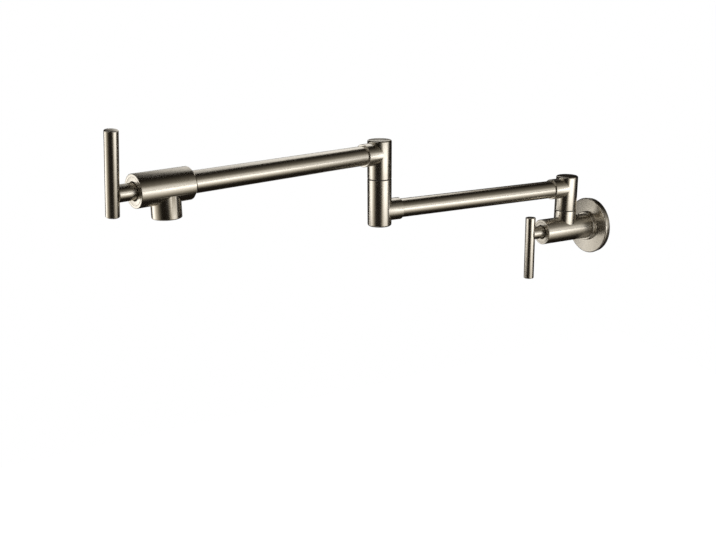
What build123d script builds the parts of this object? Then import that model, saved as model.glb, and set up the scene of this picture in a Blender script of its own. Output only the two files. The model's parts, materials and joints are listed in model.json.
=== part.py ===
from build123d import *
import os
from math import cos, sin, radians

# Wall mounted pot filler. Millimetres, +Z up. The wall is the plane Y = 0 and the filler stands
# out of it along -Y. The origin is the centre of the inlet thread's mouth, flush with the wall.

# driving dimensions: arms and joints
arm_length = 238.0            # joint axis to joint axis, and mid joint to outlet axis
tube_radius = 9.5             # 3/4 inch tube
tube_wall = 1.5
joint_radius = 12.0           # upright swivel joints, 24 mm across
branch_radius = 11.1          # socket that takes the arm tube
branch_reach = 22.4           # joint axis to the socket's mouth
socket_depth = 10.0
joint_offset = 39.8           # wall to the wall joint's axis
inner_arm_height = 47.3       # arm axes above the inlet axis
outer_arm_height = 104.4
elbow_above = 13.4            # arm axis to the elbow's top
elbow_below = 24.9            # arm axis down to the seam's middle
seam_gap = 0.8                # slot that the swivel washer fills
end_housing_below = 15.1      # inner arm axis to the mid joint's underside
joint_edge = 1.8              # rounding of the joints' top and bottom edges
end_housing_waterway = 6.0    # depth of the upright bore under the inner arm's axis
inner_arm_heading = -90.0     # degrees about Z from +X, as photographed
outer_arm_heading = -75.1
overcut = 1.0                 # cutters run this far past the faces they open

# valve bodies, shared by the wall valve and the spout valve
body_radius = 13.9
body_face_edge = 0.5
bore_radius = 7.8             # opening round the handle's stem
gland_radius = 11.4
gland_length = 7.0
gland_web = 1.6               # inner web that presses on the cartridge
gland_mouth_chamfer = 0.3
gland_play = 0.8              # round the spindle
chamber_radius = 10.0
wall_body_length = 72.0       # wall to the front face
spout_body_front = 28.0       # outlet axis to the front face
spout_body_back = 23.2        # outlet axis to the back end
spout_back_chamfer = 2.0
spout_socket_depth = 8.0      # arm tube's seat in the back end
passage_radius = 6.0

# inlet and flange
inlet_thread_radius = 9.3     # 1/2 inch pipe thread, minor radius
inlet_thread_length = 14.0
flange_radius = 31.75         # 2 1/2 inch escutcheon
flange_back_radius = 30.7
flange_thickness = 6.6
flange_edge = 1.3
flange_wall = 2.0
flange_clearance = 0.1        # flange bore round the body
hub_radius = 16.2
hub_front = 10.8              # wall to the hub's front face
hub_edge = 0.8
gasket_inner_radius = 27.6
gasket_outer_radius = 30.0
gasket_thickness = 1.2

# T handles
bar_radius = 5.55
bar_long_side = 50.7          # stem axis to the bar's far end
bar_short_side = 18.3
bar_edge = 0.8
stem_radius = 7.0
stem_inset = 5.0              # how far the stem reaches into the body
stem_reach = 14.8             # front face to the stem's saddle end
hub_screw_height = 5.5
hub_bore_depth = 9.4          # hub's bore for the spindle, beyond the face
hub_clearance = 0.05
wall_bar_offset = 15.6        # front face to the bar's axis
spout_bar_offset = 17.8
wall_handle_turn = 1.5        # degrees off upright, as photographed
spout_handle_turn = -8.3

# ceramic cartridge, measured inwards from the front face
spindle_radius = 4.0
spindle_tip = 9.0             # how far the spindle stands out of the face
spindle_flat = 0.6            # flat that the handle's grub screw bears on
spindle_oring_depth = 16.0
journal_radius = 5.0
journal_clearance = 0.05
journal_start = 8.0
housing_length = 33.0
housing_radius = 9.8
housing_collar = 10.0         # length of the full-width collar that carries the O-ring
housing_nose_radius = 8.6
window_width = 8.0
cavity_radius = 7.3
carrier_start = 28.0
carrier_radius = 7.0
carrier_thickness = 4.0
disc_thickness = 2.6
fork_depth = 1.0
fork_width = 3.0
fork_play = 0.1
port_arc = 66.0               # degrees, each of a disc's two ports
port_outer_radius = 5.8
port_inner_radius = 1.4
seal_thickness = 2.5

# swivel joints
spigot_radius = 8.0
spigot_clearance = 0.05
spigot_bore_radius = 5.0
spigot_shank_radius = 7.5
spigot_shank = 11.0           # threaded length below the seam
spigot_rise = 17.0            # journal length above the seam
spigot_hex_depth = 5.0        # hex mouth for the key, as wide as the bore
washer_inner_radius = 8.2
washer_outer_radius = 11.3
oring_wire = 1.0              # radius of an O-ring groove's section
oring_clearance = 0.03
swivel_oring_heights = (3.5, 7.5)
groove_height = 13.0          # retaining groove above the seam
groove_width = 3.2
groove_depth = 1.6
groove_side_gap = 0.4         # screw's shoulder to the spigot

# grub screws
grub_radius = 2.0
grub_socket_across = 2.0
grub_socket_depth = 1.6
screw_sink = 0.3              # every screw sits this far below its surface
flange_screw_radius = 1.5
retaining_tip_radius = 1.25
retaining_tip_length = 1.5

# outlet and aerator
outlet_radius = 12.4
outlet_drop = 25.6            # outer arm axis to the outlet's mouth
outlet_edge = 1.0
outlet_thread_radius = 11.0
outlet_thread_depth = 9.0
outlet_passage_radius = 7.0
aerator_recess = 0.8
aerator_height = 5.4
aerator_rim = 1.4
screen_thickness = 0.6
screen_hole_radius = 0.8
screen_hole_rings = ((0.0, 1), (2.7, 6), (5.4, 12), (8.1, 18))
aerator_slots = 8
aerator_slot_radius = 6.0
aerator_slot_length = 5.0
aerator_slot_width = 1.6
washer_clearance = 0.2


# placements

def heading(angle):
    return Vector(cos(radians(angle)), sin(radians(angle)), 0)


inner_joint = Vector(0, -joint_offset, 0)
outer_joint = inner_joint + heading(inner_arm_heading) * arm_length
outlet_axis = outer_joint + heading(outer_arm_heading) * arm_length
spout_face = outlet_axis + heading(outer_arm_heading) * spout_body_front

# joints stand along local Z at the seam's middle, their arm leaves along local X
wall_seam = inner_arm_height - elbow_below
elbow_seam = outer_arm_height - elbow_below
wall_joint_place = Location((inner_joint.X, inner_joint.Y, wall_seam), (0, 0, inner_arm_heading))
elbow_joint_place = Location((outer_joint.X, outer_joint.Y, elbow_seam), (0, 0, outer_arm_heading))
inner_arm_place = Location((inner_joint.X, inner_joint.Y, inner_arm_height), (0, 0, inner_arm_heading))
outer_arm_place = Location((outer_joint.X, outer_joint.Y, outer_arm_height), (0, 0, outer_arm_heading))


def face_place(x, y, z, angle):
    """Local Z points out of a valve's front face, local Y points up."""
    out = heading(angle)
    return Plane(origin=(x, y, z), x_dir=(-out.Y, out.X, 0), z_dir=(out.X, out.Y, 0)).location


flange_place = face_place(0, 0, 0, -90.0)
wall_valve_place = face_place(0, -wall_body_length, 0, -90.0)
spout_valve_place = face_place(spout_face.X, spout_face.Y, outer_arm_height, outer_arm_heading)


# building blocks

def rod(radius, low, high):
    """Cylinder on the local Z axis between two heights."""
    return Pos(0, 0, low) * Cylinder(radius, high - low, align=(Align.CENTER, Align.CENTER, Align.MIN))


def ring(outer, inner, low, high):
    return rod(outer, low, high) - rod(inner, low - overcut, high + overcut)


def rod_along_x(radius, low, high):
    return Rot(0, 90, 0) * rod(radius, low, high)


def hexagon(across, low, high):
    outline = RegularPolygon(across / 2, 6, major_radius=False)
    return Pos(0, 0, low) * extrude(outline, high - low)


def round_edge(solid, height, radius):
    """The circular edge of the given radius at one height."""
    return [e for e in solid.edges().filter_by(GeomType.CIRCLE)
            if abs(e.center().Z - height) < 1e-3 and abs(e.radius - radius) < 1e-3]


def soften(solid, height, radius, size):
    return fillet(round_edge(solid, height, radius), size)


def oring(bore, height):
    """O-ring that just clears the bore it seals."""
    section = oring_wire - oring_clearance
    return Pos(0, 0, height) * Torus(bore - oring_clearance - section, section)


def oring_groove(outside, height):
    return ring(outside + overcut, outside - 2 * oring_wire, height - oring_wire, height + oring_wire)


def grub_screw(length, radius=grub_radius):
    """Socket screw on local Z, its socket end at Z = 0, its point below."""
    return rod(radius, -length, 0) - hexagon(grub_socket_across, -grub_socket_depth, overcut)


# wall flange

def make_wall_flange():
    bore = body_radius + flange_clearance
    cavity = flange_thickness - flange_wall
    with BuildPart() as flange:
        with BuildSketch(Plane.XZ):
            with BuildLine():
                Polyline((bore, hub_front), (bore, 0.0), (bore + flange_wall, 0.0),
                         (bore + flange_wall, cavity), (gasket_inner_radius, cavity),
                         (gasket_inner_radius, gasket_thickness), (gasket_outer_radius, gasket_thickness),
                         (gasket_outer_radius, 0.0), (flange_back_radius, 0.0),
                         (flange_radius, flange_thickness), (hub_radius, flange_thickness),
                         (hub_radius, hub_front), (bore, hub_front))
            make_face()
        revolve(axis=Axis.Z)
    body = soften(flange.part, flange_thickness, flange_radius, flange_edge)
    body = soften(body, hub_front, hub_radius, hub_edge)
    return body - flange_screw_hole()


def flange_screw_hole():
    hole = rod(flange_screw_radius, body_radius, hub_radius + overcut)
    return Pos(0, 0, (flange_thickness + hub_front) / 2) * Rot(90, 0, 0) * hole


def make_flange_screw():
    head = hub_radius - screw_sink
    screw = grub_screw(head - body_radius, flange_screw_radius)
    return Pos(0, -head, (flange_thickness + hub_front) / 2) * Rot(90, 0, 0) * screw


# valve bodies: local Z = 0 is the front face, the body lies below it

def bored_front(body):
    """Cuts the opening for the gland ring and the cartridge chamber."""
    cartridge_end = gland_length + housing_length
    body = body - rod(gland_radius, -gland_length, overcut)
    return body - rod(chamber_radius, -cartridge_end, 0)


def make_valve_body():
    cartridge_end = gland_length + housing_length
    stub_top = wall_seam - seam_gap / 2
    body = rod(body_radius, -wall_body_length, 0)
    body = soften(body, 0, body_radius, body_face_edge)
    stub_place = Pos(0, 0, -(wall_body_length - joint_offset)) * Rot(-90, 0, 0)
    body = body + stub_place * rod(joint_radius, 0, stub_top)
    body = bored_front(body)
    body = body - rod(passage_radius, -wall_body_length, -cartridge_end)
    thread_end = -wall_body_length + inlet_thread_length
    body = body - rod(inlet_thread_radius, -wall_body_length - overcut, thread_end)
    body = body - stub_place * rod(spigot_shank_radius, stub_top - spigot_shank, stub_top + overcut)
    return body - stub_place * rod(spigot_bore_radius, chamber_radius / 2, stub_top)


def make_spout_body():
    back = -(spout_body_front + spout_body_back)
    body = rod(body_radius, back, 0)
    body = soften(body, 0, body_radius, body_face_edge)
    body = chamfer(round_edge(body, back, body_radius), spout_back_chamfer)
    outlet_place = Pos(0, 0, -spout_body_front) * Rot(90, 0, 0)
    outlet = soften(rod(outlet_radius, 0, outlet_drop), outlet_drop, outlet_radius, outlet_edge)
    body = body + outlet_place * outlet
    body = bored_front(body)
    body = body - rod(passage_radius, back, 0)
    body = body - rod(tube_radius, back - overcut, back + spout_socket_depth)
    body = body - outlet_place * rod(outlet_passage_radius, 0, outlet_drop)
    thread_top = outlet_drop - outlet_thread_depth
    return body - outlet_place * rod(outlet_thread_radius, thread_top, outlet_drop + overcut)


# ceramic cartridge, local Z = 0 at the valve's front face

def make_gland_ring():
    body = rod(gland_radius, -gland_length, 0)
    body = body - rod(bore_radius, -gland_length + gland_web, overcut)
    body = body - rod(spindle_radius + gland_play, -gland_length - overcut, overcut)
    return chamfer(round_edge(body, 0, bore_radius), gland_mouth_chamfer)


def make_cartridge_housing():
    start = -gland_length
    end = -(gland_length + housing_length - seal_thickness)
    body = rod(housing_radius, start - housing_collar, start) + rod(housing_nose_radius, end, start)
    body = body - oring_groove(housing_radius, start - housing_collar / 2)
    body = body - rod(journal_radius + journal_clearance, -carrier_start, start + overcut)
    body = body - rod(cavity_radius, end - overcut, -carrier_start)
    window = Box(2 * chamber_radius, window_width, carrier_thickness + disc_thickness)
    return body - Pos(0, 0, -carrier_start - (carrier_thickness + disc_thickness) / 2) * window


def make_cartridge_oring():
    return oring(chamber_radius, -gland_length - housing_collar / 2)


def make_spindle():
    shoulder = -carrier_start
    carrier_end = shoulder - carrier_thickness
    body = rod(spindle_radius, -journal_start, spindle_tip)
    body = body + rod(journal_radius, shoulder, -journal_start)
    body = body + rod(carrier_radius, carrier_end, shoulder)
    body = body - oring_groove(journal_radius, -spindle_oring_depth)
    flat = Box(2 * spindle_flat, 2 * spindle_radius, spindle_tip)
    body = body - Pos(-spindle_radius, 0, spindle_tip / 2) * flat
    fork = Box(fork_width, 2 * carrier_radius - fork_width, fork_depth)
    return body + Pos(0, 0, carrier_end - fork_depth / 2) * fork


def make_spindle_oring():
    return oring(journal_radius + journal_clearance, -spindle_oring_depth)


def disc_ports(low, high):
    """Two opposite sectors that let water through."""
    sector = Cylinder(port_outer_radius, high - low, arc_size=port_arc,
                      align=(Align.NONE, Align.NONE, Align.MIN))
    sector = Pos(0, 0, low) * Rot(0, 0, 45 - port_arc / 2) * sector - rod(port_inner_radius, low, high)
    return sector + Rot(0, 0, 180) * sector


def make_moving_disc():
    top = -carrier_start - carrier_thickness
    bottom = top - disc_thickness
    slot_depth = fork_depth + fork_play
    slot = Box(fork_width + 2 * fork_play, 2 * carrier_radius + overcut, slot_depth)
    body = rod(carrier_radius, bottom, top) - disc_ports(bottom - overcut, top + overcut)
    return body - Pos(0, 0, top - slot_depth / 2) * slot


def make_fixed_disc():
    top = -carrier_start - carrier_thickness - disc_thickness
    bottom = -(gland_length + housing_length - seal_thickness)
    ports = disc_ports(bottom - overcut, top + overcut)
    return rod(cavity_radius, bottom, top) - Rot(0, 0, 90) * ports


def make_seat_seal():
    end = -(gland_length + housing_length)
    return ring(housing_nose_radius, passage_radius, end, end + seal_thickness)


# T handle: stem on local Z, bar along local Y

def make_handle_hub(bar_offset):
    body = rod(stem_radius, -stem_inset, min(stem_reach, bar_offset))
    body = body - rod(spindle_radius + hub_clearance, -stem_inset - overcut, hub_bore_depth)
    bar = Pos(0, 0, bar_offset) * Rot(90, 0, 0) * rod(bar_radius, -2 * stem_radius, 2 * stem_radius)
    return body - bar - hub_screw_hole()


def hub_screw_hole():
    hole = rod(grub_radius, spindle_radius - overcut, stem_radius + overcut)
    return Pos(0, 0, hub_screw_height) * Rot(0, -90, 0) * hole


def make_hub_screw():
    head = stem_radius - screw_sink
    length = head - spindle_radius + spindle_flat
    return Pos(-head, 0, hub_screw_height) * Rot(0, -90, 0) * grub_screw(length)


def make_handle_bar(bar_offset, above, below):
    body = rod(bar_radius, -below, above)
    body = soften(body, above, bar_radius, bar_edge)
    body = soften(body, -below, bar_radius, bar_edge)
    return Pos(0, 0, bar_offset) * Rot(-90, 0, 0) * body


# swivel joints: local Z = 0 is the middle of the seam

def make_elbow():
    low, axis_height, top = seam_gap / 2, elbow_below, elbow_below + elbow_above
    bore = spigot_radius + spigot_clearance
    body = soften(rod(joint_radius, low, top), top, joint_radius, joint_edge)
    body = body + Pos(0, 0, axis_height) * rod_along_x(branch_radius, 0, branch_reach)
    body = body - rod(bore, low - overcut, low + spigot_rise)
    waterway = tube_radius - tube_wall
    body = body - rod(waterway, low, axis_height)
    socket = rod_along_x(tube_radius, branch_reach - socket_depth, branch_reach + overcut)
    body = body - Pos(0, 0, axis_height) * (socket + rod_along_x(waterway, 0, branch_reach))
    return body - retaining_hole()


def retaining_hole():
    hole = rod(grub_radius, spigot_radius - overcut, joint_radius + overcut)
    return Pos(0, 0, groove_height) * Rot(0, -90, 0) * hole


def make_retaining_screw():
    head = joint_radius - screw_sink
    length = head - spigot_radius - groove_side_gap
    screw = grub_screw(length) + rod(retaining_tip_radius, -length - retaining_tip_length, -length)
    return Pos(-head, 0, groove_height) * Rot(0, -90, 0) * screw


def make_spigot():
    base = -seam_gap / 2
    body = rod(spigot_radius, base, spigot_rise) + rod(spigot_shank_radius, base - spigot_shank, base)
    for height in swivel_oring_heights:
        body = body - oring_groove(spigot_radius, height)
    body = body - ring(spigot_radius + overcut, spigot_radius - groove_depth,
                       groove_height - groove_width / 2, groove_height + groove_width / 2)
    body = body - hexagon(2 * spigot_bore_radius, spigot_rise - spigot_hex_depth, spigot_rise + overcut)
    return body - rod(spigot_bore_radius, base - spigot_shank - overcut, spigot_rise + overcut)


def make_swivel_orings():
    bore = spigot_radius + spigot_clearance
    return Compound(children=[oring(bore, height) for height in swivel_oring_heights])


def make_swivel_washer():
    return ring(washer_outer_radius, washer_inner_radius, -seam_gap / 2, seam_gap / 2)


def make_arm_tube(start, end):
    bore = rod_along_x(tube_radius - tube_wall, start - overcut, end + overcut)
    return rod_along_x(tube_radius, start, end) - bore


def make_end_housing():
    """Lower half of the mid joint, upright on local Z at the inner arm's far end, arm along -X."""
    top = outer_arm_height - elbow_below - seam_gap / 2 - inner_arm_height
    body = rod(joint_radius, -end_housing_below, top)
    body = soften(body, -end_housing_below, joint_radius, joint_edge)
    body = body + rod_along_x(branch_radius, -branch_reach, 0)
    body = body - rod_along_x(tube_radius, -branch_reach - overcut, -branch_reach + socket_depth)
    body = body - rod_along_x(tube_radius - tube_wall, -branch_reach, 0)
    body = body - rod(spigot_shank_radius, top - spigot_shank, top + overcut)
    return body - rod(spigot_bore_radius, -end_housing_waterway, top)


# aerator: local Z down the outlet, Z = 0 on the outer arm's axis

def make_aerator_insert():
    low = outlet_drop - aerator_recess
    high = low - aerator_height
    body = rod(outlet_thread_radius, high, low)
    body = body - rod(outlet_thread_radius - aerator_rim, low - screen_thickness, low + overcut)
    slot = Box(aerator_slot_length, aerator_slot_width, aerator_height + 2 * overcut)
    for place in PolarLocations(aerator_slot_radius, aerator_slots):
        body = body - place * Pos(0, 0, (high + low) / 2) * slot
    return body


def make_aerator_screen():
    low = outlet_drop - aerator_recess
    body = rod(outlet_thread_radius - aerator_rim, low - screen_thickness, low)
    for radius, count in screen_hole_rings:
        for place in PolarLocations(radius, count):
            body = body - place * rod(screen_hole_radius, low - screen_thickness - overcut, low + overcut)
    return body


def make_aerator_washer():
    high = outlet_drop - outlet_thread_depth
    low = outlet_drop - aerator_recess - aerator_height
    return ring(outlet_thread_radius - washer_clearance, outlet_passage_radius, high, low)


# assembly

def cartridge_nodes(prefix, place, turn):
    moving = place * Rot(0, 0, turn)
    return {
        prefix + "_gland_ring": place * make_gland_ring(),
        prefix + "_cartridge_housing": place * make_cartridge_housing(),
        prefix + "_cartridge_oring": place * make_cartridge_oring(),
        prefix + "_fixed_disc": place * make_fixed_disc(),
        prefix + "_seat_seal": place * make_seat_seal(),
        prefix + "_cartridge_spindle": moving * make_spindle(),
        prefix + "_spindle_oring": moving * make_spindle_oring(),
        prefix + "_moving_disc": moving * make_moving_disc(),
    }


def handle_nodes(prefix, place, turn, bar_offset, above, below):
    moving = place * Rot(0, 0, turn)
    return {
        prefix + "_handle_hub": moving * make_handle_hub(bar_offset),
        prefix + "_handle_bar": moving * make_handle_bar(bar_offset, above, below),
        prefix + "_handle_grub_screw": moving * make_hub_screw(),
    }


def swivel_nodes(prefix, place):
    return {
        prefix + "_swivel_spigot": place * make_spigot(),
        prefix + "_swivel_orings": place * make_swivel_orings(),
        prefix + "_swivel_washer": place * make_swivel_washer(),
        prefix + "_swivel_retaining_screw": place * make_retaining_screw(),
    }


def make_nodes():
    outlet_place = spout_valve_place * Pos(0, 0, -spout_body_front) * Rot(90, 0, 0)
    end_place = inner_arm_place * Pos(arm_length, 0, 0)
    tube_start = branch_reach - socket_depth
    inner_tube_end = arm_length - tube_start
    outer_tube_end = arm_length - spout_body_back + spout_socket_depth
    nodes = {
        "wall_flange": flange_place * make_wall_flange(),
        "flange_gasket": flange_place * ring(gasket_outer_radius, gasket_inner_radius, 0, gasket_thickness),
        "flange_set_screw": flange_place * make_flange_screw(),
        "valve_body": wall_valve_place * make_valve_body(),
        "inner_arm_elbow": wall_joint_place * make_elbow(),
        "inner_arm_tube": inner_arm_place * make_arm_tube(tube_start, inner_tube_end),
        "inner_arm_end_housing": end_place * make_end_housing(),
        "outer_arm_elbow": elbow_joint_place * make_elbow(),
        "outer_arm_tube": outer_arm_place * make_arm_tube(tube_start, outer_tube_end),
        "spout_body": spout_valve_place * make_spout_body(),
        "aerator_insert": outlet_place * make_aerator_insert(),
        "aerator_screen": outlet_place * make_aerator_screen(),
        "aerator_washer": outlet_place * make_aerator_washer(),
    }
    nodes |= cartridge_nodes("wall", wall_valve_place, wall_handle_turn)
    nodes |= cartridge_nodes("spout", spout_valve_place, spout_handle_turn)
    nodes |= handle_nodes("wall", wall_valve_place, wall_handle_turn,
                          wall_bar_offset, bar_short_side, bar_long_side)
    nodes |= handle_nodes("spout", spout_valve_place, spout_handle_turn,
                          spout_bar_offset, bar_long_side, bar_short_side)
    nodes |= swivel_nodes("wall", wall_joint_place)
    nodes |= swivel_nodes("elbow", elbow_joint_place)
    return nodes


os.makedirs("parts", exist_ok=True)
for name, solid in make_nodes().items():
    export_step(solid, f"parts/{name}.step")
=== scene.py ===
import json
import math

import bmesh
import bpy
from mathutils import Matrix, Vector


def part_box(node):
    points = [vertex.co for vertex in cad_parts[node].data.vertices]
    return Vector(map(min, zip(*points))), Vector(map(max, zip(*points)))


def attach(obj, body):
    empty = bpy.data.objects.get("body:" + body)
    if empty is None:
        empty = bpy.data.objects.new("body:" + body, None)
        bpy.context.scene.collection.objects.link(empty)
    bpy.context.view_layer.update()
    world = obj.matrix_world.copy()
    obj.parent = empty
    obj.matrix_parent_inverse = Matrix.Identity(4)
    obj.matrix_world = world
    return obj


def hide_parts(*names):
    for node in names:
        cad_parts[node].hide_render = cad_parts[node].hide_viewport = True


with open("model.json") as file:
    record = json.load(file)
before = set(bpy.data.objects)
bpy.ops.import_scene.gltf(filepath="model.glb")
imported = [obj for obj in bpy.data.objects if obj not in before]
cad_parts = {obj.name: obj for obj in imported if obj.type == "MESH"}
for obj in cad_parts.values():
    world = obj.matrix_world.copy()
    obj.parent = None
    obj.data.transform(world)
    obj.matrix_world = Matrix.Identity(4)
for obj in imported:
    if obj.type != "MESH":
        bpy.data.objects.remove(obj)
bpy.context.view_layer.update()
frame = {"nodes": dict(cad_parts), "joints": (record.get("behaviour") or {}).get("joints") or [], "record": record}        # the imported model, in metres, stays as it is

# A wall mounted pot filler in brushed nickel. The wall is the plane Y = 0, the filler stands out
# along -Y, and +Z is up. The dictionaries are in millimetres and degrees, unless a note says metres.

mm = 0.001
segments = 192           # facets round a turned piece
weld = 0.0005            # points nearer than this become one
overcut = 1.0            # how far a cutter runs past what it cuts

joints = {joint["name"]: joint for joint in frame["joints"]}
wallJoint = Vector(joints["wall_swivel"]["pos_m"])
elbowJoint = Vector(joints["elbow_swivel"]["pos_m"])
wallFace = Vector(joints["wall_handle_turn"]["pos_m"])
spoutFace = Vector(joints["spout_handle_turn"]["pos_m"])
wallOut = Vector(joints["wall_handle_turn"]["axis"])
spoutOut = Vector(joints["spout_handle_turn"]["axis"])
up = Vector((0, 0, 1))


def middle(node):
    low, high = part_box(node)
    return (low + high) / 2


def reach(node, origin, direction):    # lowest and highest along a direction, in mm
    along = [(v.co - origin).dot(direction) / mm for v in frame["nodes"][node].data.vertices]
    return min(along), max(along)


innerHeight = middle("inner_arm_tube").z
outerHeight = middle("outer_arm_tube").z


def place(origin, zAxis, xAxis):    # local Z along zAxis, local X near xAxis
    z = zAxis.normalized()
    y = z.cross(xAxis).normalized()
    x = y.cross(z)
    return Matrix.Translation(origin) @ Matrix((x, y, z)).transposed().to_4x4()


# nodes, colours and bumps

def addNode(tree, kind, links=None, **settings):
    node = tree.nodes.new(kind)
    for name, value in settings.items():
        setattr(node, name, value)
    for name, value in (links or {}).items():
        if isinstance(value, bpy.types.NodeSocket):
            tree.links.new(value, node.inputs[name])
        else:
            node.inputs[name].default_value = value
    return node


def colour(hexCode):    # sRGB hex to the linear colour that the nodes take
    parts = [int(hexCode[i:i + 2], 16) / 255 for i in (1, 3, 5)]
    return (*[c / 12.92 if c <= 0.04045 else ((c + 0.055) / 1.055) ** 2.4 for c in parts], 1.0)


def calc(tree, operation, *values, **settings):    # one step of arithmetic
    node = addNode(tree, "ShaderNodeMath", dict(enumerate(values)), operation=operation, **settings)
    return node.outputs[0]


def blend(tree, factor, dark, light):    # between two colours
    tint = addNode(tree, "ShaderNodeMix", {"Factor": factor}, data_type="RGBA")
    tint.inputs[6].default_value = colour(dark)
    tint.inputs[7].default_value = colour(light)
    return tint.outputs[2]


def mottle(tree, scale, detail):    # soft noise through the piece
    where = addNode(tree, "ShaderNodeTexCoord")
    return addNode(tree, "ShaderNodeTexNoise", {
        "Vector": where.outputs["Object"], "Scale": scale, "Detail": detail}).outputs["Fac"]


def newMaterial(name):
    material = bpy.data.materials.new(name)
    material.use_nodes = True
    material.node_tree.nodes.clear()
    return material, material.node_tree


def finish(tree, shader):
    addNode(tree, "ShaderNodeOutputMaterial", {"Surface": shader.outputs[0]})


# materials

brushing = {
    "dark": "#D2CBBE", "light": "#E7E0D3",
    "linePitch": 0.18,       # spacing of the brushed lines
    "lineLength": 9.0,       # how far a line runs round the piece before it fades
    "lineDepth": 0.006,
    "relief": 0.35,
    "patchSize": 7.0,        # soft unevenness of the plating
    "smooth": 0.25, "dull": 0.28,
    "drawnOut": 0.4,         # how far the lines draw a light out
}


def brushedNickel():
    # Brushed nickel: plated brass brushed with a fine belt while it turns. The lines run round each
    # piece, so a light is drawn out along the piece and stays sharp across it.
    s = brushing
    material, tree = newMaterial("brushedNickel")
    grain = addNode(tree, "ShaderNodeUVMap", uv_map="UVMap")
    lines = addNode(tree, "ShaderNodeMapping", {
        "Vector": grain.outputs["UV"],
        "Scale": (1 / (s["linePitch"] * mm), 1 / (s["lineLength"] * mm), 1.0)})
    streaks = addNode(tree, "ShaderNodeTexNoise", {
        "Vector": lines.outputs["Vector"], "Scale": 1.0, "Detail": 3.0, "Roughness": 0.65})
    rough = addNode(tree, "ShaderNodeMapRange", {
        "Value": mottle(tree, 1 / (s["patchSize"] * mm), 2.0), "From Min": 0.3, "From Max": 0.7,
        "To Min": s["smooth"], "To Max": s["dull"]})
    bump = addNode(tree, "ShaderNodeBump", {
        "Height": streaks.outputs["Fac"], "Strength": s["relief"], "Distance": s["lineDepth"] * mm})
    along = addNode(tree, "ShaderNodeTangent", direction_type="UV_MAP", uv_map="UVMap")
    shader = addNode(tree, "ShaderNodeBsdfPrincipled", {
        "Base Color": blend(tree, streaks.outputs["Fac"], s["dark"], s["light"]), "Metallic": 1.0,
        "Roughness": rough.outputs["Result"], "Anisotropic": s["drawnOut"],
        "Normal": bump.outputs["Normal"], "Tangent": along.outputs["Tangent"]})
    finish(tree, shader)
    return material


def plainMetal(name, scale, detail, dark, light, smooth, dull):
    material, tree = newMaterial(name)
    stain = mottle(tree, scale, detail)
    rough = addNode(tree, "ShaderNodeMapRange", {"Value": stain, "To Min": smooth, "To Max": dull})
    shader = addNode(tree, "ShaderNodeBsdfPrincipled", {
        "Base Color": blend(tree, stain, dark, light), "Metallic": 1.0,
        "Roughness": rough.outputs["Result"]})
    finish(tree, shader)
    return material


def softSurface(name, dark, light, grit, roughness, depth):
    material, tree = newMaterial(name)
    grain = mottle(tree, 1 / (grit * mm), 3.0)
    rough = addNode(tree, "ShaderNodeMapRange", {
        "Value": grain, "To Min": roughness - 0.06, "To Max": roughness + 0.06})
    bump = addNode(tree, "ShaderNodeBump", {"Height": grain, "Strength": 0.3, "Distance": depth * mm})
    shader = addNode(tree, "ShaderNodeBsdfPrincipled", {
        "Base Color": blend(tree, grain, dark, light), "Roughness": rough.outputs["Result"],
        "Normal": bump.outputs["Normal"]})
    finish(tree, shader)
    return material


nickel = brushedNickel()
# Turned brass: a little dull and stained from the bar's skin.
brass = plainMetal("turnedBrass", 180.0, 4.0, "#B08D4C", "#CFAE6B", 0.25, 0.42)
# Stainless steel as it comes from the wire and screw maker: grey and bright, with a fine mottle.
steel = plainMetal("passivatedSteel", 2500.0, 2.0, "#A7A6A3", "#C9C8C5", 0.22, 0.38)
# Sintered alumina, lapped flat: an even warm white with a dull gloss.
ceramic = softSurface("lappedAlumina", "#E2DFD6", "#EDEAE3", 0.6, 0.3, 0.002)
# Moulded nitrile rubber: near black, matt, with a skin of fine dust.
rubber = softSurface("nitrileRubber", "#161616", "#222120", 0.3, 0.62, 0.01)
# Moulded acetal: slippery dark plastic with a low sheen.
plastic = softSurface("mouldedAcetal", "#1C1B1A", "#282725", 0.8, 0.42, 0.004)
print("materials ready")


# one tree turns an outline into a solid, as a lathe does

def socketOf(tree, name, kind, value=None):
    socket = tree.interface.new_socket(name, in_out="INPUT", socket_type=kind)
    if value is not None:
        socket.default_value = value


def newTree(name, output, sizes):    # a tree with named sizes and a finish
    tree = bpy.data.node_groups.new(name, "GeometryNodeTree")
    for size, value in sizes.items():
        socketOf(tree, size, "NodeSocketFloat", value)
    socketOf(tree, "Finish", "NodeSocketMaterial")
    tree.interface.new_socket(output, in_out="OUTPUT", socket_type="NodeSocketGeometry")
    return tree, addNode(tree, "NodeGroupInput").outputs


def endTree(tree, shape, given, output):    # real geometry in its finish
    real = addNode(tree, "GeometryNodeRealizeInstances", {"Geometry": shape})
    done = addNode(tree, "GeometryNodeSetMaterial", {
        "Geometry": real.outputs[0], "Material": given["Finish"]})
    addNode(tree, "NodeGroupOutput", {output: done.outputs[0]})
    return tree


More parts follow.
